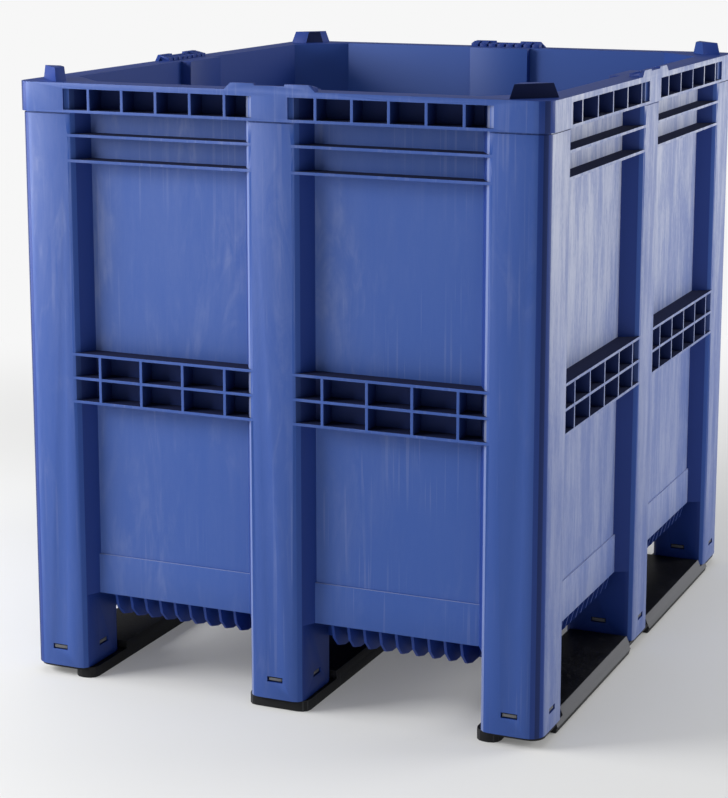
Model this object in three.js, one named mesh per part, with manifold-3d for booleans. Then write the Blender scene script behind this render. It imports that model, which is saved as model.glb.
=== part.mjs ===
// Bulk pallet box: one moulded plastic tub on nine hollow feet, with three clip-on runners.
// Millimetres, +Z up. The origin is on the floor under the middle of the box.
// X goes across the runners, Y goes along them, and the narrow side faces -Y.

import * as THREE from 'three';
import { ConvexGeometry } from 'three/addons/geometries/ConvexGeometry.js';
import { mergeVertices } from 'three/addons/utils/BufferGeometryUtils.js';
import Module from 'manifold-3d';

const wasm = await Module();
wasm.setup();

// Overall sizes, over the rim
const boxWidth = 1000;
const boxLength = 1200;
const rimTop = 1100;

// Tub
const rimProud = 4;
const wall = 8;
const panelRecess = 37;
const floorBottom = 160;
const floorThickness = 8;
const cornerChamfer = 90;
const padWidth = 130;
const padDepth = 20;

// Posts and feet
const cornerPostWidth = 112;
const cornerPostLength = 124;
const midPostWidth = 104;
const midPostLength = 112;
const midFootDepth = 134;
const outerCornerRadius = 28;
const postEdgeRadius = 18;
const postFlare = 14;
const hollowTopClearance = 14;
const footWindowWidth = 30;
const footWindowHeight = 10;
const footWindowAbove = 31;

// Rim band with its row of pockets
const rimBandHeight = 52;
const rimFlange = 10;
const rimGroove = 3;
const ribThickness = 5;
const rimPocketPitchFront = 66.5;
const rimPocketPitchSide = 87;

// Stiffening ribs: their tops, measured down from the rim
const upperRibDrops = [90, 135];
const beltTopDrop = 484;
const beltRowHeight = 43.5;
const beltRows = 2;
const beltPitchFront = 83;
const beltPitchSide = 86;

// Skirt at the foot of the panels and the curved fins under it
const skirtHeight = 74;
const skirtProud = 3;
const finDrop = 51;
const finPitch = 30.3;
const finMargin = 36;
const finThickness = 5;

// Stacking lugs at the corners
const lugOuterLine = 90;
const lugInnerLine = 125;
const lugEnd = 77;
const lugHeight = 24;
const lugEndTaper = 6;
const lugFaceTaper = 1.6;

// Stacking nibs on the rim over the middle posts
const nibReach = 85;
const nibRamp = 12;
const nibHeight = 11.5;
const nibSaddle = 8;
const saddleReach = 29;
const nibPlate = 8;
const gussetDrop = 1;
const gussetLowEnd = 6;
const gussetReach = 20;
const gussetPitch = 20;
const gussetCount = 8;
const gussetThickness = 15;

// Runners
const skidHeight = 20;
const seatGap = 0.3;
const runnerTop = 34;
const runnerWidth = 122;
const middleRunnerWidth = 118;
const runnerEndSetback = 8;
const runnerPlate = 6;
const inboardSkidWidth = 44;
const reliefLength = 92;
const lipHeight = 11;
const lipProud = 4;
const lipHalfHeight = 2;
const flankFoot = 2;
const flankSlope = 8;
const footClearance = 6;
const plugClearance = 2;
const plugAboveWindow = 12;
const tabClearance = 2;

// Facets on a quarter round: a wide corner, a small edge radius and a fin's curve
const wideRadius = 20;
const wideSteps = 5;
const smallSteps = 3;
const finSteps = 3;
const overlap = 1;
const ribSetback = 1;

// Planes and levels that follow from the sizes above
const rimX = boxWidth / 2;
const rimY = boxLength / 2;
const postX = rimX - rimProud;
const postY = rimY - rimProud;
const panelX = postX - panelRecess;
const panelY = postY - panelRecess;
const innerX = panelX - wall;
const innerY = panelY - wall;
const footBottom = skidHeight + seatGap;
const floorTop = floorBottom + floorThickness;
const cornerPostInnerX = postX - cornerPostWidth;
const cornerPostInnerY = postY - cornerPostLength;
const windowBottom = footBottom + footWindowAbove;
const ribInFoot = ribThickness / 2 + ribSetback;

// The four sides. A point on a side is (along, out, up): along the face, out from the middle, and up.
const sides = [];
for (const sign of [-1, 1]) {
  sides.push({
    facesY: true, sign, rim: rimY, post: postY, panel: panelY, inner: innerY,
    bayStart: midPostWidth / 2, bayEnd: cornerPostInnerX,
    rimPitch: rimPocketPitchFront, beltPitch: beltPitchFront,
  });
  sides.push({
    facesY: false, sign, rim: rimX, post: postX, panel: panelX, inner: innerX,
    bayStart: midPostLength / 2, bayEnd: cornerPostInnerY,
    rimPitch: rimPocketPitchSide, beltPitch: beltPitchSide,
  });
}

// A closed geometry as a solid that can be joined and cut
function solid(geometry) {
  geometry.deleteAttribute('normal');
  geometry.deleteAttribute('uv');
  const merged = mergeVertices(geometry.index ? geometry.toNonIndexed() : geometry, 1e-4);
  const vertProperties = new Float32Array(merged.attributes.position.array);
  const triVerts = new Uint32Array(merged.index.array);
  return new wasm.Manifold(new wasm.Mesh({ numProp: 3, vertProperties, triVerts }));
}

function joinAll(solids) {
  return solids.reduce((whole, piece) => whole.add(piece));
}

function block(x0, x1, y0, y1, z0, z1) {
  const geometry = new THREE.BoxGeometry(Math.abs(x1 - x0), Math.abs(y1 - y0), z1 - z0);
  geometry.translate((x0 + x1) / 2, (y0 + y1) / 2, (z0 + z1) / 2);
  return solid(geometry);
}

// A block placed on a side of the box by its along, out and up ranges
function sideBlock(side, along0, along1, out0, out1, z0, z1) {
  if (side.facesY) return block(along0, along1, side.sign * out0, side.sign * out1, z0, z1);
  return block(side.sign * out0, side.sign * out1, along0, along1, z0, z1);
}

function sidePoint(side, along, out, z) {
  const outwards = side.sign * out;
  return side.facesY ? new THREE.Vector3(along, outwards, z) : new THREE.Vector3(outwards, along, z);
}

// An upright prism over a plan outline
function prism(shape, z0, z1) {
  const geometry = new THREE.ExtrudeGeometry(shape, { depth: z1 - z0, bevelEnabled: false });
  geometry.translate(0, 0, z0);
  return solid(geometry);
}

function polygon(points) {
  return new THREE.Shape(points.map(([x, y]) => new THREE.Vector2(x, y)));
}

// Points of a quarter round about (cx, cy), starting at a number of quarter turns
function quarterRound(cx, cy, radius, startTurns, steps) {
  return Array.from({ length: steps + 1 }, (unused, i) => {
    const angle = (startTurns + i / steps) * Math.PI / 2;
    return [cx + radius * Math.cos(angle), cy + radius * Math.sin(angle)];
  });
}

// A plan rectangle with its own radius at each corner, anticlockwise from (x0, y0)
function roundedPlan(x0, x1, y0, y1, [r00, r10, r11, r01]) {
  const corner = (cx, cy, radius, turns) => {
    return quarterRound(cx, cy, radius, turns, radius > wideRadius ? wideSteps : smallSteps);
  };
  return polygon([
    ...corner(x0 + r00, y0 + r00, r00, 2),
    ...corner(x1 - r10, y0 + r10, r10, 3),
    ...corner(x1 - r11, y1 - r11, r11, 0),
    ...corner(x0 + r01, y1 - r01, r01, 1),
  ]);
}

// Plan of the inside of the tub: chamfered corners, and a shallow pad behind each middle post
function insidePlan() {
  const pad = padWidth / 2;
  const quarter = [
    [innerX - padDepth, 0],
    [innerX - padDepth, pad],
    [innerX, pad],
    [innerX, innerY - cornerChamfer],
    [innerX - cornerChamfer, innerY],
    [pad, innerY],
    [pad, innerY - padDepth],
  ];
  const mirrored = quarter.slice(1).reverse().map(([x, y]) => [-x, y]);
  const upperHalf = [...quarter, ...mirrored, [-quarter[0][0], 0]];
  const lowerHalf = upperHalf.slice(1, -1).reverse().map(([x, y]) => [x, -y]);
  return polygon([...upperHalf, ...lowerHalf]);
}

// Offsets of a centred row of equal steps
function row(count, pitch) {
  return Array.from({ length: count }, (unused, i) => (i - (count - 1) / 2) * pitch);
}

// Rib positions in a bay, as many as the pitch gives room for
function bayRibs(side, pitch) {
  const bay = side.bayEnd - side.bayStart;
  const middle = (side.bayStart + side.bayEnd) / 2;
  return row(Math.max(1, Math.round(bay / pitch)), pitch).map((offset) => middle + offset);
}

function shrink([x0, x1, y0, y1], by) {
  return [x0 + by, x1 - by, y0 + by, y1 - by];
}

function mirroredQuarters(make) {
  const quarters = [];
  for (const sx of [-1, 1]) {
    for (const sy of [-1, 1]) quarters.push(make(sx, sy));
  }
  return quarters;
}

// Plan rectangle of a corner post, with the large radius on the outer corner only
function cornerPlan(sx, sy, inset) {
  const [x0, x1, y0, y1] = shrink(cornerFootRange(sx, sy), inset);
  const radius = (cx, cy) => {
    const outer = cx === sx && cy === sy;
    return Math.max(outer ? outerCornerRadius - inset : postEdgeRadius - inset, 1);
  };
  const radii = [radius(-1, -1), radius(1, -1), radius(1, 1), radius(-1, 1)];
  return roundedPlan(x0, x1, y0, y1, radii);
}

// Plan of the foot under a middle post, as [x0, x1, y0, y1]
function midFootRange(side, inset) {
  const half = side.bayStart - inset;
  const out = [side.post - midFootDepth + inset, side.post - inset].map((value) => side.sign * value);
  out.sort((a, b) => a - b);
  return side.facesY ? [-half, half, out[0], out[1]] : [out[0], out[1], -half, half];
}

function cornerFootRange(sx, sy) {
  const x = [sx * cornerPostInnerX, sx * postX].sort((a, b) => a - b);
  const y = [sy * cornerPostInnerY, sy * postY].sort((a, b) => a - b);
  return [...x, ...y];
}

function evenPlan([x0, x1, y0, y1], radius) {
  return roundedPlan(x0, x1, y0, y1, [radius, radius, radius, radius]);
}

const centreFoot = [-midPostWidth / 2, midPostWidth / 2, -midPostLength / 2, midPostLength / 2];

// Posts that run down as feet
function posts() {
  const pieces = mirroredQuarters((sx, sy) => prism(cornerPlan(sx, sy, 0), footBottom, rimTop - overlap));
  for (const side of sides) {
    const plan = evenPlan(midFootRange(side, 0), postEdgeRadius);
    pieces.push(prism(plan, footBottom, rimTop - overlap));
  }
  pieces.push(prism(evenPlan(centreFoot, postEdgeRadius), footBottom, floorBottom + overlap));
  return joinAll(pieces);
}

// The flare from a post's rounded edge to the panel beside it. The bay edge is measured along the side,
// and into is the direction from it into the post, 1 or -1.
function flare(side, edge, into) {
  const centre = edge + into * postEdgeRadius;
  const turns = into > 0 ? 1 : 0;
  const plan = [
    ...quarterRound(centre, side.post - postEdgeRadius, postEdgeRadius, turns, smallSteps),
    [edge - into * postFlare, side.panel - overlap],
    [centre, side.panel - overlap],
  ];
  const corners = plan.flatMap(([along, out]) => {
    return [floorBottom, rimTop - overlap].map((z) => sidePoint(side, along, out, z));
  });
  return solid(new ConvexGeometry(corners));
}

function flares() {
  const pieces = [];
  for (const side of sides) {
    for (const end of [-1, 1]) {
      pieces.push(flare(side, end * side.bayStart, -end), flare(side, end * side.bayEnd, end));
    }
  }
  return joinAll(pieces);
}

// Hollows of the feet and posts, open at the bottom
function postHollows() {
  const top = rimTop - hollowTopClearance;
  const hollowFloor = floorBottom - wall;
  const tubSkin = insideWithSkin();
  const columns = mirroredQuarters((sx, sy) => prism(cornerPlan(sx, sy, wall), hollowFloor, top));
  const feet = mirroredQuarters((sx, sy) => prism(cornerPlan(sx, sy, wall), 0, hollowFloor + overlap));
  for (const side of sides) {
    const plan = evenPlan(midFootRange(side, wall), postEdgeRadius - wall);
    columns.push(prism(plan, hollowFloor, top));
    feet.push(prism(plan, 0, hollowFloor + overlap));
  }
  feet.push(prism(evenPlan(shrink(centreFoot, wall), postEdgeRadius - wall), 0, hollowFloor));
  return joinAll(columns).subtract(tubSkin).add(joinAll(feet));
}

// The inside of the tub grown by the wall, so that hollows keep a wall to it
function insideWithSkin() {
  const pad = padWidth / 2 + wall;
  const middleX = innerX - padDepth;
  const middleY = innerY - padDepth;
  const edge = cornerChamfer + wall * (2 - Math.SQRT2);
  const corners = [
    [panelX, panelY - edge],
    [panelX - edge, panelY],
  ];
  const outline = [];
  for (const [sx, sy, flip] of [[1, 1, false], [-1, 1, true], [-1, -1, false], [1, -1, true]]) {
    const pair = corners.map(([x, y]) => [sx * x, sy * y]);
    outline.push(...(flip ? pair.reverse() : pair));
  }
  const bottom = floorBottom - wall;
  const whole = prism(polygon(outline), bottom, rimTop);
  const behindPads = sides.map((side) => {
    const padFace = (side.facesY ? middleY : middleX) + wall;
    return sideBlock(side, -pad, pad, padFace, side.post, bottom - overlap, rimTop + overlap);
  });
  return whole.subtract(joinAll(behindPads));
}

// Rim band: a plate all round, with open pockets between its ribs that run on over the posts' rounded edges
function rimBand() {
  const radius = outerCornerRadius + rimProud;
  const bandBottom = rimTop - rimBandHeight;
  const plan = evenPlan([-rimX, rimX, -rimY, rimY], radius);
  const band = prism(plan, bandBottom, rimTop);
  const pockets = [];
  for (const side of sides) {
    const ribs = bayRibs(side, side.rimPitch);
    const edges = [side.bayStart, ...ribs, side.bayEnd];
    for (let i = 0; i + 1 < edges.length; i += 1) {
      const start = edges[i] + (i === 0 ? -postEdgeRadius : ribThickness / 2);
      const end = edges[i + 1] + (i + 2 === edges.length ? postEdgeRadius : -ribThickness / 2);
      for (const [from, to] of [[start, end], [-end, -start]]) {
        const z0 = bandBottom + ribThickness;
        const z1 = rimTop - rimFlange;
        pockets.push(sideBlock(side, from, to, side.panel, side.rim + overlap, z0, z1));
      }
    }
  }
  return band.subtract(joinAll(pockets));
}

// A narrow groove round the posts, right under the rim band
function grooveUnderBand() {
  const top = rimTop - rimBandHeight;
  const radius = outerCornerRadius + rimProud;
  const around = evenPlan([-rimX, rimX, -rimY, rimY], radius);
  const floor = rimProud + rimGroove;
  const kept = evenPlan(shrink([-rimX, rimX, -rimY, rimY], floor), radius - floor);
  const low = top - rimGroove;
  return prism(around, low, top).subtract(prism(kept, low - overlap, top + overlap));
}

// Level ribs and the belt of pockets halfway up, flush with the posts
function stiffeners() {
  const pieces = [];
  const beltTop = rimTop - beltTopDrop;
  const beltLevels = Array.from({ length: beltRows + 1 }, (unused, i) => beltTop - i * beltRowHeight);
  const levels = [...upperRibDrops.map((drop) => rimTop - drop), ...beltLevels];
  for (const side of sides) {
    const root = side.panel - overlap;
    const front = side.post - ribSetback;
    for (const end of [-1, 1]) {
      for (const top of levels) {
        const from = end * (side.bayStart - postEdgeRadius);
        const to = end * (side.bayEnd + postEdgeRadius);
        pieces.push(sideBlock(side, from, to, root, front, top - ribThickness, top));
      }
      for (const middle of bayRibs(side, side.beltPitch)) {
        const from = end * middle - ribThickness / 2;
        const bottom = beltTop - beltRows * beltRowHeight - ribThickness;
        pieces.push(sideBlock(side, from, from + ribThickness, root, front, bottom, beltTop));
      }
    }
  }
  return joinAll(pieces);
}

// A fin: a quarter round from the skirt's lower edge, then level inwards to the beam along the feet
function fin(side, along) {
  const face = side.panel + skirtProud - overlap;
  const beam = (side.facesY ? cornerPostInnerY : cornerPostInnerX) + ribInFoot;
  const outline = [
    ...quarterRound(face - finDrop, floorBottom, finDrop, 3, finSteps),
    [face, floorBottom + overlap],
    [beam, floorBottom + overlap],
    [beam, floorBottom - finDrop],
  ];
  const options = { depth: finThickness, bevelEnabled: false };
  const geometry = new THREE.ExtrudeGeometry(polygon(outline), options);
  geometry.translate(0, 0, -finThickness / 2);
  geometry.rotateX(Math.PI / 2);
  const facing = { y: { 1: Math.PI / 2, '-1': -Math.PI / 2 }, x: { 1: 0, '-1': Math.PI } };
  geometry.rotateZ(facing[side.facesY ? 'y' : 'x'][side.sign]);
  geometry.translate(side.facesY ? along : 0, side.facesY ? 0 : along, 0);
  return solid(geometry);
}

// Skirt, fins and the ribs that tie the feet together under the floor, in line with the feet's walls
function underside() {
  const pieces = [];
  for (const side of sides) {
    const bay = side.bayEnd - side.bayStart;
    const middle = (side.bayStart + side.bayEnd) / 2;
    const count = Math.max(1, Math.floor((bay - 2 * finMargin) / finPitch) + 1);
    for (const end of [-1, 1]) {
      const from = end * (side.bayStart - postEdgeRadius);
      const to = end * (side.bayEnd + postEdgeRadius);
      const skirtTop = floorBottom + skirtHeight;
      const face = side.panel + skirtProud;
      pieces.push(sideBlock(side, from, to, side.panel - overlap, face, floorBottom, skirtTop));
      for (const offset of row(count, finPitch)) pieces.push(fin(side, end * middle + offset));
    }
  }
  const ribBottom = floorBottom - finDrop;
  const half = ribThickness / 2;
  for (const end of [-1, 1]) {
    for (const line of [midPostWidth / 2 - ribInFoot, cornerPostInnerX + ribInFoot]) {
      const x = end * line;
      pieces.push(block(x - half, x + half, -panelY, panelY, ribBottom, floorBottom + overlap));
    }
    for (const line of [midPostLength / 2 - ribInFoot, cornerPostInnerY + ribInFoot]) {
      const y = end * line;
      pieces.push(block(-panelX, panelX, y - half, y + half, ribBottom, floorBottom + overlap));
    }
  }
  return joinAll(pieces);
}

// A lug across a corner of the rim. Its long faces cross the corner, its ends are square to the sides
// of the box, and it narrows upwards. A point of its plan is the setbacks from the two sides.
function cornerLug(sx, sy) {
  const points = [];
  for (const [z, endTaper, faceTaper] of [
    [rimTop - overlap, 0, 0],
    [rimTop + lugHeight, lugEndTaper, lugFaceTaper],
  ]) {
    const end = lugEnd - endTaper;
    for (const line of [lugOuterLine + faceTaper, lugInnerLine - faceTaper]) {
      for (const [backX, backY] of [[line - end, end], [end, line - end]]) {
        points.push(new THREE.Vector3(sx * (rimX - backX), sy * (rimY - backY), z));
      }
    }
  }
  return solid(new ConvexGeometry(points));
}

// A gusset behind the nibs' plate, sloping down towards the inside of the box
function gusset(side, along, level, base) {
  const root = side.rim - nibPlate + overlap;
  const tip = side.rim - nibPlate - gussetReach;
  const low = rimTop + gussetLowEnd;
  const points = [];
  for (const at of [along - gussetThickness / 2, along + gussetThickness / 2]) {
    for (const [out, z] of [[tip, base], [tip, low], [root, level], [root, base]]) {
      points.push(sidePoint(side, at, out, z));
    }
  }
  return solid(new ConvexGeometry(points));
}

// Upstand on the rim over a middle post: two nibs with a saddle between them, on gussets
function stackingNibs(side) {
  const top = rimTop + nibHeight;
  const saddle = rimTop + nibSaddle;
  const base = rimTop - overlap;
  const outFrom = side.rim - nibPlate;
  const step = Math.sign(nibHeight - nibSaddle);
  const profile = polygon([
    [-nibReach, base], [nibReach, base], [nibReach, rimTop], [nibReach - nibRamp, top],
    [saddleReach, top], [saddleReach - step, saddle], [step - saddleReach, saddle],
    [-saddleReach, top], [nibRamp - nibReach, top], [-nibReach, rimTop],
  ]);
  const geometry = new THREE.ExtrudeGeometry(profile, { depth: nibPlate, bevelEnabled: false });
  geometry.rotateX(Math.PI / 2);
  geometry.translate(0, -outFrom, 0);
  const facing = side.facesY ? (side.sign < 0 ? 0 : Math.PI) : side.sign * Math.PI / 2;
  geometry.rotateZ(facing);
  const gussets = row(gussetCount, gussetPitch).map((along) => {
    const level = Math.abs(along) < saddleReach + gussetThickness ? saddle : top;
    return gusset(side, along, level - gussetDrop, base);
  });
  return joinAll([solid(geometry), ...gussets]);
}

// Outer plan ranges of the nine feet, as [x0, x1, y0, y1]
function footRanges() {
  const corners = mirroredQuarters((sx, sy) => cornerFootRange(sx, sy));
  return [...corners, ...sides.map((side) => midFootRange(side, 0)), centreFoot];
}

// Windows through the foot walls that the runners' tabs show in
function footWindows() {
  const z0 = windowBottom;
  const z1 = windowBottom + footWindowHeight;
  const half = footWindowWidth / 2;
  const cuts = [];
  for (const [x0, x1, y0, y1] of footRanges()) {
    const cx = (x0 + x1) / 2;
    const cy = (y0 + y1) / 2;
    cuts.push(block(cx - half, cx + half, y0 - overlap, y1 + overlap, z0, z1));
    cuts.push(block(x0 - overlap, x1 + overlap, cy - half, cy + half, z0, z1));
  }
  return joinAll(cuts);
}

function boxBody() {
  const tub = block(-panelX, panelX, -panelY, panelY, floorBottom, rimTop);
  const outside = joinAll([tub, posts(), flares(), rimBand(), stiffeners(), underside()]);
  const grooved = outside.subtract(grooveUnderBand());
  const hollowed = grooved.subtract(prism(insidePlan(), floorTop, rimTop + overlap));
  const topped = joinAll([hollowed, ...mirroredQuarters(cornerLug), ...sides.map(stackingNibs)]);
  return topped.subtract(postHollows()).subtract(footWindows());
}

// A plug inside a foot, standing on the runner, with a tab in each of its windows
function plug([x0, x1, y0, y1], plan) {
  const top = windowBottom + footWindowHeight + plugAboveWindow;
  const base = skidHeight - overlap;
  const cx = (x0 + x1) / 2;
  const cy = (y0 + y1) / 2;
  const half = footWindowWidth / 2 - tabClearance;
  const reach = wall - tabClearance;
  const tabBottom = windowBottom + tabClearance;
  const tabTop = windowBottom + footWindowHeight - tabClearance;
  const body = prism(plan, base, top);
  const alongX = block(x0 - reach, x1 + reach, cy - half, cy + half, tabBottom, tabTop);
  const alongY = block(cx - half, cx + half, y0 - reach, y1 + reach, tabBottom, tabTop);
  return joinAll([body, alongX, alongY]);
}

function evenPlug(range) {
  return plug(range, evenPlan(shrink(range, plugClearance), postEdgeRadius - wall));
}

// A cross-section in X and Z carried along Y
function bar(points, y0, y1) {
  const geometry = new THREE.ExtrudeGeometry(polygon(points), { depth: y1 - y0, bevelEnabled: false });
  geometry.rotateX(Math.PI / 2);
  geometry.translate(0, y1, 0);
  return solid(geometry);
}

// A side runner: a skid under the inner edge, a full-width beam between the feet, a thin plate under them
function sideRunner(sign) {
  const outer = postX - lipProud / 2;
  const inner = postX - runnerWidth;
  const end = postY - runnerEndSetback;
  const plateBottom = skidHeight - runnerPlate;
  const inboard = inner + inboardSkidWidth;
  const outerRadius = outerCornerRadius - lipProud;
  const x = (value) => sign * value;
  const plateRange = [x(inner), x(outer)].sort((a, b) => a - b);
  const [outerLow, outerHigh] = sign > 0 ? [postEdgeRadius, outerRadius] : [outerRadius, postEdgeRadius];
  const plateRadii = [outerLow, outerHigh, outerHigh, outerLow];
  const plate = prism(roundedPlan(...plateRange, -end, end, plateRadii), plateBottom, skidHeight);
  const skidRange = [x(inner), x(inboard)].sort((a, b) => a - b);
  const skidPlan = evenPlan([...skidRange, -end, end], postEdgeRadius);
  const pieces = [plate, prism(skidPlan, 0, skidHeight)];

  const lip = x(postX + lipProud / 2);
  const flank = x(postX - flankFoot);
  const lower = [
    [x(inner), 0], [x(outer), 0], [x(postX), lipHeight - lipHalfHeight], [lip, lipHeight],
    [x(postX), lipHeight + lipHalfHeight], [flank, skidHeight], [x(inner), skidHeight],
  ];
  const upper = [
    [x(inner), skidHeight - overlap], [flank, skidHeight - overlap], [flank, skidHeight],
    [x(postX - flankSlope), runnerTop], [x(inner), runnerTop],
  ];
  const lowerStart = midPostLength / 2 + runnerEndSetback;
  const upperStart = midPostLength / 2 + footClearance;
  for (const half of [-1, 1]) {
    const span = (start, stop) => [half * start, half * stop].sort((a, b) => a - b);
    pieces.push(bar(lower, ...span(lowerStart, postY - reliefLength)));
    pieces.push(bar(upper, ...span(upperStart, cornerPostInnerY - footClearance)));
  }

  const middleSide = sides.find((side) => !side.facesY && side.sign === sign);
  for (const sy of [-1, 1]) {
    const range = shrink(cornerFootRange(sign, sy), wall);
    pieces.push(plug(range, cornerPlan(sign, sy, wall + plugClearance)));
  }
  pieces.push(evenPlug(midFootRange(middleSide, wall)));
  return joinAll(pieces);
}

// The middle runner: a full-width skid, raised between the feet
function middleRunner() {
  const half = middleRunnerWidth / 2;
  const end = postY - runnerEndSetback;
  const pieces = [prism(evenPlan([-half, half, -end, end], postEdgeRadius), 0, skidHeight)];
  const upper = [
    [-half, skidHeight - overlap], [half, skidHeight - overlap], [half, skidHeight],
    [half - flankFoot, runnerTop], [flankFoot - half, runnerTop], [-half, skidHeight],
  ];
  const start = midPostLength / 2 + footClearance;
  const stop = postY - midFootDepth - footClearance;
  pieces.push(bar(upper, start, stop), bar(upper, -stop, -start));
  for (const side of sides.filter((each) => each.facesY)) pieces.push(evenPlug(midFootRange(side, wall)));
  pieces.push(evenPlug(shrink(centreFoot, wall)));
  return joinAll(pieces);
}

function toMesh(name, piece, material) {
  const data = piece.getMesh();
  const geometry = new THREE.BufferGeometry();
  geometry.setAttribute('position', new THREE.BufferAttribute(new Float32Array(data.vertProperties), 3));
  geometry.setIndex(new THREE.BufferAttribute(new Uint32Array(data.triVerts), 1));
  geometry.computeVertexNormals();
  const mesh = new THREE.Mesh(geometry, material);
  mesh.name = name;
  return mesh;
}

const bluePlastic = new THREE.MeshStandardMaterial({ color: 0x3f5ca6, roughness: 0.5, metalness: 0 });
const blackPlastic = new THREE.MeshStandardMaterial({ color: 0x26272a, roughness: 0.6, metalness: 0 });

const palletBox = new THREE.Group();
palletBox.add(toMesh('box_body', boxBody(), bluePlastic));
palletBox.add(toMesh('left_runner', sideRunner(-1), blackPlastic));
palletBox.add(toMesh('middle_runner', middleRunner(), blackPlastic));
palletBox.add(toMesh('right_runner', sideRunner(1), blackPlastic));

export default palletBox;
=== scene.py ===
"""Looks of the bulk pallet box: one moulded blue container on three black clip-on runners.

Everything is in metres, in the CAD model's frame: X runs across the runners, Y along them, Z up.
"""

import math

import bmesh
import bpy
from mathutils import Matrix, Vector


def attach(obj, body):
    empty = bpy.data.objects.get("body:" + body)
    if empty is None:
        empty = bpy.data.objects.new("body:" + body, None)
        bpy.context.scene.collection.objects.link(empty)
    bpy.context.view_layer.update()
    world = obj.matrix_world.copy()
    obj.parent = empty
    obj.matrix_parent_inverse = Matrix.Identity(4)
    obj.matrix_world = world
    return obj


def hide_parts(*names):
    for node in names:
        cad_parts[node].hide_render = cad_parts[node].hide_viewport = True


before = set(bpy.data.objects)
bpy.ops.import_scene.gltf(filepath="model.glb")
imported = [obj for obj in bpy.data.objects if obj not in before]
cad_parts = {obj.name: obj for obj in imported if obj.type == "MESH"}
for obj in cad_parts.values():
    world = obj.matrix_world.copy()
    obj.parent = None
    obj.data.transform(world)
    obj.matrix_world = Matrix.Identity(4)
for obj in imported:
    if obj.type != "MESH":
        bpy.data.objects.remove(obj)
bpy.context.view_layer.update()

# Main planes and levels of the container, within 3 mm of the CAD's
post_plane_x = 0.496
post_plane_y = 0.596
panel_plane_x = 0.459
panel_plane_y = 0.559
rim_top = 1.1
rim_band_bottom = 1.048
belt_top = 0.619
belt_bottom = 0.524
skirt_top = 0.234

# Limits that tell faces apart, a little off the planes and levels they part
under_skirt = 0.152
flank_from_x = 0.485
tabs_from_z = 0.050
plane_slack = 0.004
edge_reach = 0.028

# How squarely a face has to look one way to count, as that part of its normal
looking_up = 0.8
tilted_up = 0.2
sloped_up = 0.1
mostly = 0.5
rounded_below = 0.97
panel_above = 0.95

# Wear and painted light of the container's faces, from 0 where it is sheltered and in painted shade to
# 1 where it is worn; the inside end walls get painted light
# Inside walls: painted shade on the long ones, painted light on the end ones
long_wall_inside = 0.12
end_wall_inside_more = 0.66
rounded_corner = 0.15
post_face = 0.85
panel_face = 1.0
# Painted shade on the pockets' backs
pocket_back = 0.1

# Painted shade on the ribs' tops and on the pockets' sides
rib_top_painted_shade = 1.0
pocket_painted_shade = 0.6

# The edge attribute is 1 on rounded edges, and more than that on the skirt's ledge, for its painted
# highlight
ledge_highlight = 2.5

# How much paler the upright faces of the runners are painted
upright_paleness = 0.1

# Finish of the moulded edges
body_edge = 0.0014
runner_edge = 0.0012
edge_segments = 2
sharp_angle = math.radians(28)
smooth_angle = math.radians(32)
weld_distance = 0.00002
flat_angle = math.radians(0.6)


def deselect_all():
    """Clears the selection, so an operator acts only on what is picked next."""
    for thing in bpy.context.selected_objects:
        thing.select_set(False)


def pick(thing):
    """Makes one object the only selected and active one."""
    deselect_all()
    thing.select_set(True)
    bpy.context.view_layer.objects.active = thing


def welded_copy(node_name, name):
    """Copies a CAD node, welds its loose triangles and clears the edges inside flat faces."""
    source = bpy.data.objects[node_name]
    copy = source.copy()
    copy.data = source.data.copy()
    copy.name = name
    copy.data.name = name
    for key in list(copy.keys()):
        del copy[key]
    bpy.context.scene.collection.objects.link(copy)
    pick(copy)
    bpy.ops.object.mode_set(mode="EDIT")
    bpy.ops.mesh.select_all(action="SELECT")
    bpy.ops.mesh.remove_doubles(threshold=weld_distance)
    bpy.ops.mesh.dissolve_limited(angle_limit=flat_angle)
    bpy.ops.mesh.normals_make_consistent(inside=False)
    bpy.ops.object.mode_set(mode="OBJECT")
    return copy


def mark_outer_edges(thing):
    """Gives a bevel weight to every sharp edge that stands out, and none to the inner ones."""
    mesh = bmesh.new()
    mesh.from_mesh(thing.data)
    weight = mesh.edges.layers.float.new("bevel_weight_edge")
    for edge in mesh.edges:
        if len(edge.link_faces) == 2 and edge.is_convex and edge.calc_face_angle(0) > sharp_angle:
            edge[weight] = 1.0
    mesh.to_mesh(thing.data)
    mesh.free()


def note_on_faces(thing, name, value_of):
    """Keeps a value for each face as an attribute that a material reads."""
    notes = thing.data.attributes.new(name, "FLOAT", "FACE")
    for face, note in zip(thing.data.polygons, notes.data):
        note.value = value_of(face)


def round_edges(thing, width):
    """Rounds the marked edges and keeps the new narrow faces as an attribute for edge wear."""
    pick(thing)
    thing.data.materials.clear()
    thing.data.materials.append(None)
    thing.data.materials.append(None)
    bevel = thing.modifiers.new("Moulded edges", "BEVEL")
    bevel.limit_method = "WEIGHT"
    bevel.width = width
    bevel.segments = edge_segments
    bevel.use_clamp_overlap = True
    bevel.miter_outer = "MITER_SHARP"
    bevel.material = 1
    bpy.ops.object.modifier_apply(modifier=bevel.name)
    note_on_faces(thing, "edge", lambda face: float(face.material_index == 1))
    for face in thing.data.polygons:
        face.material_index = 0
    thing.data.materials.pop()
    bpy.ops.object.shade_smooth_by_angle(angle=smooth_angle)


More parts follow.
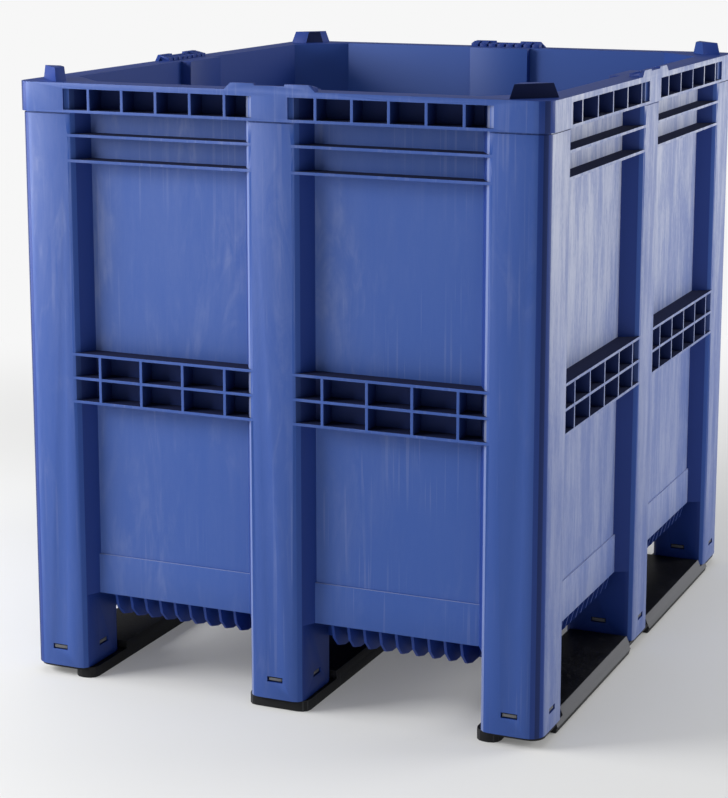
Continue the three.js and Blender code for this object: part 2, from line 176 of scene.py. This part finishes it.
def wear_and_painted_light_of(face):
    """Says how much wear and painted light a face of the container shows, from 0 to 1: painted shade on
    the rim's top, the inside long walls and the pockets' backs, painted light on the inside end walls.
    """
    x, y, z = (abs(face.center.x), abs(face.center.y), face.center.z)
    # Painted shade on the rim's top
    if face.normal.z > looking_up and z > rim_top - plane_slack:
        return 0.0
    inwards = face.normal.x * face.center.x + face.normal.y * face.center.y < 0
    inside = x < panel_plane_x - plane_slack and y < panel_plane_y - plane_slack
    # Inside walls: painted shade on the long walls, painted light on the end walls
    if inwards and inside and z > under_skirt:
        return long_wall_inside + end_wall_inside_more * face.normal.y ** 2
    outwards_x = face.normal.x * face.center.x > 0 and abs(face.normal.x) > mostly
    outwards_y = face.normal.y * face.center.y > 0 and abs(face.normal.y) > mostly
    near_x = x > post_plane_x - edge_reach
    near_y = y > post_plane_y - edge_reach
    if near_x and near_y and max(abs(face.normal.x), abs(face.normal.y)) < rounded_below:
        return rounded_corner
    if outwards_x and near_x or outwards_y and near_y:
        return post_face
    in_pockets = z > rim_band_bottom or belt_bottom < z < belt_top or z < under_skirt
    on_panel_x = outwards_x and x > panel_plane_x - plane_slack and abs(face.normal.x) > panel_above
    on_panel_y = outwards_y and y > panel_plane_y - plane_slack and abs(face.normal.y) > panel_above
    if on_panel_x or on_panel_y:
        # Painted shade on the pockets' backs
        return pocket_back if in_pockets else panel_face
    return 0.0


def on_front_right_lug(face):
    """Tells the outward face of the lug at the front right corner, which is painted almost black as
    painted shade.
    """
    outwards = face.normal.x > mostly and face.normal.y < -mostly
    return outwards and face.center.z > rim_top + plane_slack


def painted_shade_of(face):
    """Says how much painted shade a face gets: the front right lug and the ribs' tops most, then the
    pockets' sides.
    """
    if on_front_right_lug(face):
        return 1.0
    x, y, z = (abs(face.center.x), abs(face.center.y), face.center.z)
    outside = x > panel_plane_x - plane_slack or y > panel_plane_y - plane_slack
    recessed = x < post_plane_x - plane_slack and y < post_plane_y - plane_slack
    if not (outside and recessed and skirt_top + plane_slack < z < rim_top - plane_slack):
        return 0.0
    if face.normal.z > looking_up:
        return rib_top_painted_shade
    in_pockets = z > rim_band_bottom or belt_bottom < z < belt_top
    return pocket_painted_shade if in_pockets else 0.0


def on_skirt_ledge(face):
    """Tells the narrow ledge on top of the skirt, which is paler than the faces beside it as a painted
    highlight.
    """
    return face.normal.z > tilted_up and abs(face.center.z - skirt_top) < plane_slack


def mark_skirt_ledge(thing):
    """Raises the edge attribute on the skirt's ledge, for its painted highlight."""
    for face, note in zip(thing.data.polygons, thing.data.attributes["edge"].data):
        if on_skirt_ledge(face):
            note.value = ledge_highlight


def pale_and_lit_of(face):
    """Says how pale a runner's face is painted: outer slopes fully, as painted light, tabs fully,
    upright faces a little.
    """
    outwards = abs(face.center.x) > flank_from_x and face.normal.x * face.center.x > 0
    # Outer slopes that face up get painted light
    sloped = outwards and face.normal.z > sloped_up
    upright = abs(face.normal.z) < mostly
    on_tab = upright and face.center.z > tabs_from_z
    if sloped or on_tab:
        return 1.0
    return upright_paleness if upright else 0.0


# The container
body = welded_copy("box_body", "container")
mark_outer_edges(body)
round_edges(body, body_edge)
mark_skirt_ledge(body)
# Wear of the outer faces, with painted light and painted shade on the sheltered ones
note_on_faces(body, "wear_and_painted_light", wear_and_painted_light_of)
# Painted shade on the front right lug, the ribs' tops and the pockets' sides
note_on_faces(body, "painted_shade", painted_shade_of)
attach(body, "root")
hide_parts("box_body")

# The runners
runners = []
for node in ("left_runner", "middle_runner", "right_runner"):
    runner = welded_copy(node, node.replace("_runner", "_skid_rail"))
    mark_outer_edges(runner)
    round_edges(runner, runner_edge)
    # Painted light on the runners' outer slopes, and paler tabs and upright faces
    note_on_faces(runner, "pale_and_lit", pale_and_lit_of)
    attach(runner, "root")
    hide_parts(node)
    runners.append(runner)


# Building blocks for the shaders
def shader_group(name, inputs, outputs):
    """Starts a node group with named inputs (name, kind, default) and named outputs."""
    group = bpy.data.node_groups.new(name, "ShaderNodeTree")
    for label, kind, default in inputs:
        socket = group.interface.new_socket(label, in_out="INPUT", socket_type=kind)
        if default is not None:
            socket.default_value = default
    for label, kind in outputs:
        group.interface.new_socket(label, in_out="OUTPUT", socket_type=kind)
    return group, group.nodes.new("NodeGroupInput"), group.nodes.new("NodeGroupOutput")


def node(tree, kind, **settings):
    """Adds one node and sets its properties."""
    made = tree.nodes.new(kind)
    for key, value in settings.items():
        setattr(made, key, value)
    return made


def join(tree, source, target):
    """Links one socket to another."""
    tree.links.new(source, target)


def feed(tree, value, socket):
    """Gives a socket its value: a link from another socket, or a plain value."""
    if isinstance(value, bpy.types.NodeSocket):
        join(tree, value, socket)
    else:
        socket.default_value = value


def calculate(tree, operation, first, second):
    """Adds a Math node, held between 0 and 1, on sockets or plain numbers and returns its output."""
    made = node(tree, "ShaderNodeMath", operation=operation, use_clamp=True)
    feed(tree, first, made.inputs[0])
    feed(tree, second, made.inputs[1])
    return made.outputs[0]


def times(tree, first, second):
    """Multiplies two values."""
    return calculate(tree, "MULTIPLY", first, second)


def plus(tree, first, second):
    """Adds two values."""
    return calculate(tree, "ADD", first, second)


def larger(tree, first, second):
    """Keeps the larger of two values."""
    return calculate(tree, "MAXIMUM", first, second)


def rest_of(tree, value):
    """Gives what a value leaves of 1."""
    return calculate(tree, "SUBTRACT", 1.0, value)


def fade_between(tree, value, low, high, low_out=0.0, high_out=1.0):
    """Turns a value into a soft step between two levels."""
    made = node(tree, "ShaderNodeMapRange", interpolation_type="SMOOTHSTEP")
    join(tree, value, made.inputs["Value"])
    made.inputs["From Min"].default_value = low
    made.inputs["From Max"].default_value = high
    made.inputs["To Min"].default_value = low_out
    made.inputs["To Max"].default_value = high_out
    return made.outputs["Result"]


def stretched(tree, vector, scale, turn=(0, 0, 0)):
    """Stretches and turns the pattern's coordinates."""
    made = node(tree, "ShaderNodeMapping")
    join(tree, vector, made.inputs["Vector"])
    made.inputs["Scale"].default_value = scale
    made.inputs["Rotation"].default_value = turn
    return made.outputs["Vector"]


def split(tree, vector):
    """Parts a vector into its X, Y and Z."""
    made = node(tree, "ShaderNodeSeparateXYZ")
    join(tree, vector, made.inputs[0])
    return made.outputs["X"], made.outputs["Y"], made.outputs["Z"]


def noise(tree, vector, scale, detail=4, roughness=0.55, distortion=0.0):
    """Adds a noise pattern and returns its grey value."""
    made = node(tree, "ShaderNodeTexNoise")
    join(tree, vector, made.inputs["Vector"])
    made.inputs["Scale"].default_value = scale
    made.inputs["Detail"].default_value = detail
    made.inputs["Roughness"].default_value = roughness
    made.inputs["Distortion"].default_value = distortion
    return made.outputs["Fac"]


def mix_colour(tree, factor, first, second):
    """Blends two colours (sockets or plain values) by a factor socket."""
    made = node(tree, "ShaderNodeMix", data_type="RGBA")
    join(tree, factor, made.inputs["Factor"])
    for label, value in (("A", first), ("B", second)):
        socket = [entry for entry in made.inputs if entry.name == label and entry.type == "RGBA"][0]
        feed(tree, value if isinstance(value, bpy.types.NodeSocket) else (*value, 1.0), socket)
    return [entry for entry in made.outputs if entry.type == "RGBA"][0]


# Shader groups shared by the two plastics
def build_cloudy_scuffs():
    """Pale cloudy patches with curved wisps, as on a box that is washed and stacked."""
    group, given, result = shader_group(
        "cloudy_scuffs",
        [
            ("Vector", "NodeSocketVector", None),
            ("Upright Stretch", "NodeSocketFloat", 0.35),
        ],
        [("Patches", "NodeSocketFloat"), ("Wisps", "NodeSocketFloat")],
    )
    x, y, z = split(group, given.outputs["Vector"])
    height = node(group, "ShaderNodeMath", operation="MULTIPLY")
    join(group, z, height.inputs[0])
    join(group, given.outputs["Upright Stretch"], height.inputs[1])
    squeezed = node(group, "ShaderNodeCombineXYZ")
    join(group, x, squeezed.inputs["X"])
    join(group, y, squeezed.inputs["Y"])
    join(group, height.outputs[0], squeezed.inputs["Z"])
    place = squeezed.outputs[0]

    broad = noise(group, place, scale=5.0, detail=5, roughness=0.6, distortion=0.7)
    fine = noise(group, place, scale=26.0, detail=6, roughness=0.68, distortion=1.2)
    broad_patches = fade_between(group, broad, low=0.40, high=0.72)
    fine_patches = fade_between(group, fine, low=0.30, high=0.72)
    join(group, times(group, broad_patches, fine_patches), result.inputs["Patches"])

    swirl = noise(group, place, scale=9.0, detail=4, roughness=0.55, distortion=1.1)
    rising = fade_between(group, swirl, low=0.44, high=0.50)
    falling = rest_of(group, fade_between(group, swirl, low=0.50, high=0.56))
    wisps = times(group, rising, falling)
    wisps = times(group, wisps, fade_between(group, fine, low=0.38, high=0.66))
    wisps = times(group, wisps, fade_between(group, broad, low=0.36, high=0.56))
    join(group, wisps, result.inputs["Wisps"])
    return group


def build_upright_streaks():
    """Chalky whitening that has run down an upright face: broad bands, crisp streaks and fine grain."""
    group, given, result = shader_group(
        "upright_streaks", [("Vector", "NodeSocketVector", None)], [("Streaks", "NodeSocketFloat")]
    )
    place = given.outputs["Vector"]
    band_place = stretched(group, place, (1, 1, 0.18))
    crisp_place = stretched(group, place, (1, 1, 0.11))
    grain_place = stretched(group, place, (1, 1, 0.35))
    bands = noise(group, band_place, scale=13.0, detail=5, roughness=0.62, distortion=0.4)
    crisp = noise(group, crisp_place, scale=60.0, detail=5, roughness=0.7)
    grain = noise(group, grain_place, scale=240.0, detail=2)

    total = times(group, fade_between(group, bands, low=0.32, high=0.70), 0.45)
    crisp_part = times(group, fade_between(group, crisp, low=0.38, high=0.68), 0.40)
    grain_part = times(group, fade_between(group, grain, low=0.3, high=0.7), 0.15)
    total = plus(group, total, crisp_part)
    total = plus(group, total, grain_part)
    join(group, total, result.inputs["Streaks"])
    return group


def build_fine_scratches():
    """Thin straight scratches in two leaning directions and one near upright."""
    group, given, result = shader_group(
        "fine_scratches",
        [("Vector", "NodeSocketVector", None), ("Amount", "NodeSocketFloat", 0.5)],
        [("Lines", "NodeSocketFloat")],
    )
    place = given.outputs["Vector"]
    softness = 0.05
    cross_lean = 0.8
    where = noise(group, place, scale=4.0, detail=3)
    total = None
    for lean, scale, low in ((0.18, 150.0, 0.655), (-0.75, 120.0, 0.67), (1.15, 110.0, 0.675)):
        turned = stretched(group, place, (1.0, 1.0, 0.02), (lean, lean * cross_lean, 0.0))
        pattern = noise(group, turned, scale, detail=1, roughness=0.4)
        line = fade_between(group, pattern, low, low + softness)
        total = line if total is None else larger(group, total, line)
    total = times(group, total, fade_between(group, where, low=0.42, high=0.66))
    total = times(group, total, given.outputs["Amount"])
    join(group, total, result.inputs["Lines"])
    return group


def build_moulded_skin():
    """Height of a moulded face: fine orange peel over slow, shallow waves."""
    group, given, result = shader_group(
        "moulded_skin",
        [
            ("Vector", "NodeSocketVector", None),
            ("Peel", "NodeSocketFloat", 0.4),
            ("Waves", "NodeSocketFloat", 0.6),
        ],
        [("Height", "NodeSocketFloat")],
    )
    place = given.outputs["Vector"]
    peel = times(group, noise(group, place, scale=420.0, detail=2), given.outputs["Peel"])
    waves = times(group, noise(group, place, scale=7.0, detail=2), given.outputs["Waves"])
    join(group, plus(group, peel, waves), result.inputs["Height"])
    return group


cloudy_scuffs = build_cloudy_scuffs()
upright_streaks = build_upright_streaks()
fine_scratches = build_fine_scratches()
moulded_skin = build_moulded_skin()


# Parts that the materials share
def use_group(tree, group, place, **values):
    """Places a shader group in a material, at the given coordinates and with its own values."""
    placed = node(tree, "ShaderNodeGroup", node_tree=group)
    for key, value in values.items():
        placed.inputs[key.replace("_", " ").title()].default_value = value
    join(tree, place, placed.inputs["Vector"])
    return placed


def empty_material(name):
    """Makes a material with nothing in it but its output."""
    material = bpy.data.materials.new(name)
    material.use_nodes = True
    tree = material.node_tree
    tree.nodes.clear()
    return material, tree, node(tree, "ShaderNodeOutputMaterial")


def start_plastic(name):
    """Makes a material with a Principled shader and Object coordinates."""
    material, tree, output = empty_material(name)
    shader = node(tree, "ShaderNodeBsdfPrincipled")
    join(tree, shader.outputs["BSDF"], output.inputs["Surface"])
    place = node(tree, "ShaderNodeTexCoord").outputs["Object"]
    return material, tree, shader, place


def attribute(tree, name):
    """Reads one of the mesh attributes."""
    return node(tree, "ShaderNodeAttribute", attribute_name=name).outputs["Fac"]


def add_bump(tree, shader, height, strength, distance):
    """Feeds a height into the shader's normal."""
    bump = node(tree, "ShaderNodeBump")
    bump.inputs["Strength"].default_value = strength
    bump.inputs["Distance"].default_value = distance
    join(tree, height, bump.inputs["Height"])
    join(tree, bump.outputs["Normal"], shader.inputs["Normal"])


# Colours of the blue plastic
deep_blue = (0.011, 0.038, 0.220)
# Paler blue of worn faces, which on the inside end walls is painted light
faded_and_lit_blue = (0.034, 0.092, 0.355)
chalky_blue = (0.47, 0.50, 0.62)
edge_blue = (0.10, 0.17, 0.50)
# Near-black blue for painted shade
painted_shade_blue = (0.005, 0.010, 0.050)

# How strongly each kind of wear, painted sheen and painted highlight shows on the blue plastic
whitening_and_sheen_share = 0.88
patch_share = 0.14
wisp_share = 0.13
streak_share = 0.07
even_share = 0.04
scratch_share = 0.10
rounding_highlight_share = 0.28
edge_share = 0.35

# Sheen of the blue plastic and of the chalky film on it
blue_specular = 0.22
film_on_whitening = 0.9
film_on_open_faces = 0.12
film_roughness = 0.45
skin_depth = 0.002


def blue_plastic():
    """Blue polyethylene: deep where it is sheltered, with painted shade there, chalky and scuffed on
    its outer faces, with painted sheen on the long sides and painted light towards the left.
    """
    material, tree, shader, place = start_plastic("blue_polyethylene")
    wear_and_painted_light = attribute(tree, "wear_and_painted_light")
    edge = attribute(tree, "edge")
    painted_shade = attribute(tree, "painted_shade")

    # Which way the surface looks, and whether it is flat or part of a rounding
    normal_x, normal_y, normal_z = split(tree, node(tree, "ShaderNodeNewGeometry").outputs["Normal"])
    side_x = times(tree, normal_x, normal_x)
    straight = larger(tree, side_x, times(tree, normal_y, normal_y))
    straight = larger(tree, straight, times(tree, normal_z, normal_z))
    flat = fade_between(tree, straight, low=0.72, high=0.985)
    turned_left = fade_between(tree, times(tree, normal_x, -1.0), low=0.25, high=0.65)

    # Where it is: more marks towards the top and on both long sides, and painted light towards the left
    x, _, z = split(tree, place)
    painted_left_light = fade_between(tree, x, low=-0.5, high=0.5, low_out=1.0, high_out=0.3)
    long_sides_and_left_light = larger(tree, side_x, painted_left_light)
    high_up = fade_between(tree, z, low=0.35, high=1.10, low_out=0.45, high_out=1.0)

    # Outer faces, and of those the long sides, the right one more than the left
    open_face = times(tree, wear_and_painted_light, flat)
    outer = fade_between(tree, wear_and_painted_light, low=0.80, high=0.84)
    worn = times(tree, open_face, outer)
    right_side = fade_between(tree, normal_x, low=-0.5, high=0.5, low_out=0.6, high_out=1.0)
    long_side = times(tree, worn, fade_between(tree, side_x, low=0.6, high=0.95))
    long_side = times(tree, long_side, right_side)

    scuffs = use_group(tree, cloudy_scuffs, place, upright_stretch=0.22)
    scratches = use_group(tree, fine_scratches, place, amount=0.8)
    streaks = use_group(tree, upright_streaks, place).outputs["Streaks"]

    # Whitening of the long sides: partly chalky wear, partly painted sheen
    streaky = fade_between(tree, streaks, low=0.05, high=0.85, low_out=0.34, high_out=1.0)
    whitening_and_sheen = times(tree, long_side, high_up)
    whitening_and_sheen = times(tree, whitening_and_sheen, streaky)

    # Scuffs, streaks and scratches of the outer faces, and a painted highlight on roundings that look
    # left
    marks = times(tree, scuffs.outputs["Patches"], patch_share)
    marks = plus(tree, marks, times(tree, scuffs.outputs["Wisps"], wisp_share))
    marks = plus(tree, marks, times(tree, streaks, streak_share))
    marks = plus(tree, marks, even_share)
    marks = times(tree, marks, high_up)
    # More marks on the long sides, and more towards the left as painted light
    marks = times(tree, marks, long_sides_and_left_light)
    marks = plus(tree, marks, times(tree, scratches.outputs["Lines"], scratch_share))
    marks = times(tree, marks, worn)
    rounding = times(tree, rest_of(tree, flat), outer)
    painted_highlight_rounding = times(tree, rounding, turned_left)
    marks = larger(tree, marks, times(tree, painted_highlight_rounding, rounding_highlight_share))

    # Deep blue in painted shade where sheltered, paler where worn and as painted light where lit
    colour = mix_colour(tree, wear_and_painted_light, deep_blue, faded_and_lit_blue)
    # Painted shade: near-black blue on the front right lug, the ribs' tops and the pockets' sides
    colour = mix_colour(tree, painted_shade, colour, painted_shade_blue)
    # Chalky whitening of the long sides, partly painted sheen
    colour = mix_colour(tree, times(tree, whitening_and_sheen, whitening_and_sheen_share), colour, chalky_blue)
    colour = mix_colour(tree, marks, colour, chalky_blue)
    colour = mix_colour(tree, times(tree, edge, edge_share), colour, edge_blue)
    # Painted highlight on the skirt's ledge, stronger higher up
    ledge = times(tree, fade_between(tree, edge, low=1.2, high=2.4), high_up)
    colour = mix_colour(tree, ledge, colour, chalky_blue)
    join(tree, colour, shader.inputs["Base Color"])

    paleness = plus(tree, marks, whitening_and_sheen)
    roughness = fade_between(tree, paleness, low=0.0, high=0.8, low_out=0.48, high_out=0.64)
    join(tree, larger(tree, roughness, painted_shade), shader.inputs["Roughness"])
    shader.inputs["Specular IOR Level"].default_value = blue_specular
    film = times(tree, whitening_and_sheen, film_on_whitening)
    film = plus(tree, film, times(tree, open_face, film_on_open_faces))
    join(tree, film, shader.inputs["Coat Weight"])
    shader.inputs["Coat Roughness"].default_value = film_roughness
    skin = use_group(tree, moulded_skin, place, peel=0.35, waves=0.8)
    add_bump(tree, shader, skin.outputs["Height"], strength=0.25, distance=skin_depth)
    return material


# Colours, wear and painted light of the black plastic
black_plastic_colour = (0.003, 0.003, 0.004)
# Grey of the tabs, and painted light on the outer slopes
pale_and_lit_grey = (0.150, 0.152, 0.162)
black_patch_share = 0.10
black_scratch_share = 0.25
black_edge_share = 0.3
black_specular = 0.12


def black_plastic():
    """Black plastic of the runners: dull, grey on their tabs, and grey with painted light on their
    outer slopes.
    """
    material, tree, shader, place = start_plastic("black_runner_plastic")
    scuffs = use_group(tree, cloudy_scuffs, place, upright_stretch=1.0)
    scratches = use_group(tree, fine_scratches, place, amount=0.9)
    marks = times(tree, scuffs.outputs["Patches"], black_patch_share)
    marks = plus(tree, marks, times(tree, scratches.outputs["Lines"], black_scratch_share))
    marks = larger(tree, marks, times(tree, attribute(tree, "edge"), black_edge_share))
    marks = larger(tree, marks, attribute(tree, "pale_and_lit"))
    colour = mix_colour(tree, marks, black_plastic_colour, pale_and_lit_grey)
    join(tree, colour, shader.inputs["Base Color"])
    roughness = fade_between(tree, marks, low=0.0, high=0.8, low_out=0.48, high_out=0.70)
    join(tree, roughness, shader.inputs["Roughness"])
    shader.inputs["Specular IOR Level"].default_value = black_specular
    skin = use_group(tree, moulded_skin, place, peel=0.9, waves=0.3)
    add_bump(tree, shader, skin.outputs["Height"], strength=0.35, distance=skin_depth)
    return material


body.data.materials.clear()
body.data.materials.append(blue_plastic())
dark = black_plastic()
for runner in runners:
    runner.data.materials.clear()
    runner.data.materials.append(dark)

# Studio: the floor's size, its tones, and how far its own shadow-taking part reaches
floor_size = 60.0
floor_tone = (0.80, 0.80, 0.785, 1.0)
far_floor_tone = (0.93, 0.93, 0.93, 1.0)
near_floor_reach = 1.1
far_floor_reach = 3.0
near_floor_glow = 0.15

# Studio: the light of the surroundings, and the pale backdrop that shows in reflections
plain_white = (1.0, 1.0, 1.0, 1.0)
fill_level = 0.27
reflected_fill_level = 0.10
backdrop_direction = Vector((-0.12, 0.86, 0.50)).normalized()
backdrop_in_reflections = 0.2


def pale_floor():
    """A wide pale floor that takes the shadow near the box and goes to white further off."""
    deselect_all()
    bpy.ops.mesh.primitive_plane_add(size=floor_size, location=(0.0, 0.0, 0.0))
    floor = bpy.context.object
    floor.name = "studio_floor"
    material, tree, output = empty_material("studio_floor")
    matt = node(tree, "ShaderNodeBsdfDiffuse")
    matt.inputs["Color"].default_value = floor_tone
    white = node(tree, "ShaderNodeEmission")
    white.inputs["Color"].default_value = far_floor_tone
    distance = node(tree, "ShaderNodeVectorMath", operation="LENGTH")
    join(tree, node(tree, "ShaderNodeTexCoord").outputs["Object"], distance.inputs[0])
    glow = fade_between(
        tree, distance.outputs["Value"], near_floor_reach, far_floor_reach, low_out=near_floor_glow
    )
    blend = node(tree, "ShaderNodeMixShader")
    join(tree, glow, blend.inputs["Fac"])
    join(tree, matt.outputs[0], blend.inputs[1])
    join(tree, white.outputs[0], blend.inputs[2])
    join(tree, blend.outputs[0], output.inputs["Surface"])
    floor.data.materials.append(material)


def white_surroundings():
    """White background for the camera, a grey fill for light, and a faint backdrop in reflections.

    The backdrop is strongest behind and above the box, and reflections from other ways stay dim.
    """
    world = bpy.data.worlds.new("studio")
    world.use_nodes = True
    tree = world.node_tree
    tree.nodes.clear()
    output = node(tree, "ShaderNodeOutputWorld")
    path = node(tree, "ShaderNodeLightPath")
    towards = node(tree, "ShaderNodeVectorMath", operation="DOT_PRODUCT")
    join(tree, node(tree, "ShaderNodeTexCoord").outputs["Generated"], towards.inputs[0])
    towards.inputs[1].default_value = backdrop_direction
    backdrop = fade_between(tree, towards.outputs["Value"], low=0.05, high=0.85)
    reflected = larger(tree, path.outputs["Is Glossy Ray"], path.outputs["Is Transmission Ray"])
    in_mirror = times(tree, times(tree, reflected, backdrop), backdrop_in_reflections)
    white_share = larger(tree, path.outputs["Is Camera Ray"], in_mirror)
    strength = fade_between(
        tree, reflected, low=0.0, high=1.0, low_out=fill_level, high_out=reflected_fill_level
    )
    fill = node(tree, "ShaderNodeBackground")
    join(tree, strength, fill.inputs["Strength"])
    white = node(tree, "ShaderNodeBackground")
    white.inputs["Strength"].default_value = 1.0
    for background in (fill, white):
        background.inputs["Color"].default_value = plain_white
    blend = node(tree, "ShaderNodeMixShader")
    join(tree, white_share, blend.inputs["Fac"])
    join(tree, fill.outputs[0], blend.inputs[1])
    join(tree, white.outputs[0], blend.inputs[2])
    join(tree, blend.outputs[0], output.inputs["Surface"])
    bpy.context.scene.world = world


def soft_light(name, place, target, width, height, watts):
    """A rectangular soft box aimed at a point."""
    data = bpy.data.lights.new(name, "AREA")
    data.shape = "RECTANGLE"
    data.size = width
    data.size_y = height
    data.energy = watts
    lamp = bpy.data.objects.new(name, data)
    lamp.location = place
    lamp.rotation_euler = (Vector(target) - Vector(place)).to_track_quat("-Z", "Y").to_euler()
    bpy.context.scene.collection.objects.link(lamp)


pale_floor()
white_surroundings()
soft_light(
    "front_left_key", place=(-2.3, -1.9, 1.7), target=(-0.1, -0.3, 0.6),
    width=1.3, height=1.3, watts=78.0,
)
soft_light(
    "left_strip", place=(-3.4, -1.0, 1.1), target=(0.0, -0.6, 0.6),
    width=0.8, height=1.6, watts=45.0,
)
soft_light(
    "overhead_soft_box", place=(-0.3, 0.0, 4.6), target=(0.0, 0.0, 0.6),
    width=3.6, height=3.6, watts=55.0,
)
soft_light(
    "right_soft_box", place=(3.8, 2.3, 1.6), target=(0.4, 0.0, 0.6),
    width=2.4, height=1.6, watts=110.0,
)

# Camera, with its focal length in pixels of a picture of the given height
picture_height = 798.0
focal_pixels = 2175.5
sensor_width = 36.0
camera_place = (1.6001, -3.8982, 1.4219)
camera_pitch = math.radians(11.017)
camera_turn = math.radians(23.381)
camera_shift = -0.10
camera_data = bpy.data.cameras.new("camera")
camera_data.sensor_width = sensor_width
camera_data.lens = focal_pixels / picture_height * sensor_width
camera_data.shift_y = camera_shift
camera = bpy.data.objects.new("camera", camera_data)
camera.location = camera_place
camera.rotation_euler = (math.radians(90.0) - camera_pitch, 0.0, camera_turn)
bpy.context.scene.collection.objects.link(camera)
bpy.context.scene.camera = camera
bpy.context.scene.view_settings.view_transform = "Standard"
